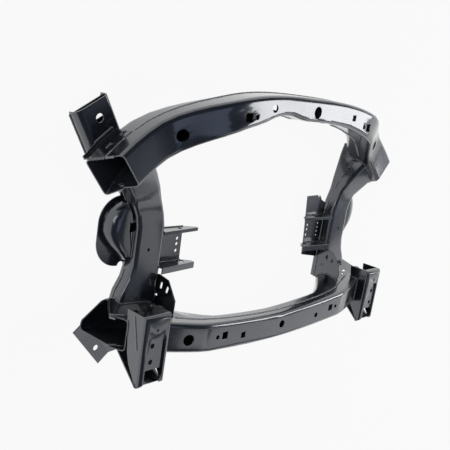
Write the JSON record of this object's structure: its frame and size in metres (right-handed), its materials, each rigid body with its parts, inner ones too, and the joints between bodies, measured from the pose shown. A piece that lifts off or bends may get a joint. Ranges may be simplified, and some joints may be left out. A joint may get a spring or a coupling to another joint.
{
  "type": "front subframe",
  "caption": "Welded pressed-steel vehicle subframe: an arched box beam and a low box beam joined by bent side rails, with body-mount towers, legs, mount brackets and bolt tabs.",
  "frame": {"origin": "middle of the plan outline, on the plane through the tower backs and the foot tabs", "axes": "+X across the frame to the right in the picture, +Y from the low beam to the arched beam, +Z out of the face that the picture shows"},
  "size_m": [1.1138, 0.6384, 0.18],
  "materials": {
    "coated_steel": "glossy black electrophoretic coat on pressed sheet steel",
    "coated_plate": "glossy black electrophoretic coat on thicker folded plate",
    "nut_steel": "black coated weld nuts"
  },
  "bodies": {
    "root": {"arch_front_shell": "coated_steel", "arch_rear_shell": "coated_steel", "low_front_shell": "coated_steel", "low_rear_shell": "coated_steel", "left_rail_front": "coated_steel", "right_rail_front": "coated_steel", "left_rail_rear": "coated_steel", "right_rail_rear": "coated_steel", "left_tower_channel": "coated_plate", "right_tower_channel": "coated_plate", "left_tower_back": "coated_plate", "right_tower_back": "coated_plate", "left_tower_collar": "coated_plate", "right_tower_collar": "coated_plate", "left_leg": "coated_plate", "right_leg": "coated_plate", "left_leg_back": "coated_plate", "right_leg_back": "coated_plate", "left_slot_gusset": "coated_plate", "right_slot_gusset": "coated_plate", "left_bracket_top": "coated_plate", "right_bracket_top": "coated_plate", "left_bracket_low": "coated_plate", "right_bracket_low": "coated_plate", "left_bracket_web": "coated_plate", "right_bracket_web": "coated_plate", "left_cup_flange": "coated_plate", "right_cup_flange": "coated_plate", "left_cup_panel": "coated_plate", "right_cup_panel": "coated_plate", "left_foot_tab": "coated_plate", "right_foot_tab": "coated_plate", "leg_weld_nuts": "nut_steel"}
  },
  "joints": []
}
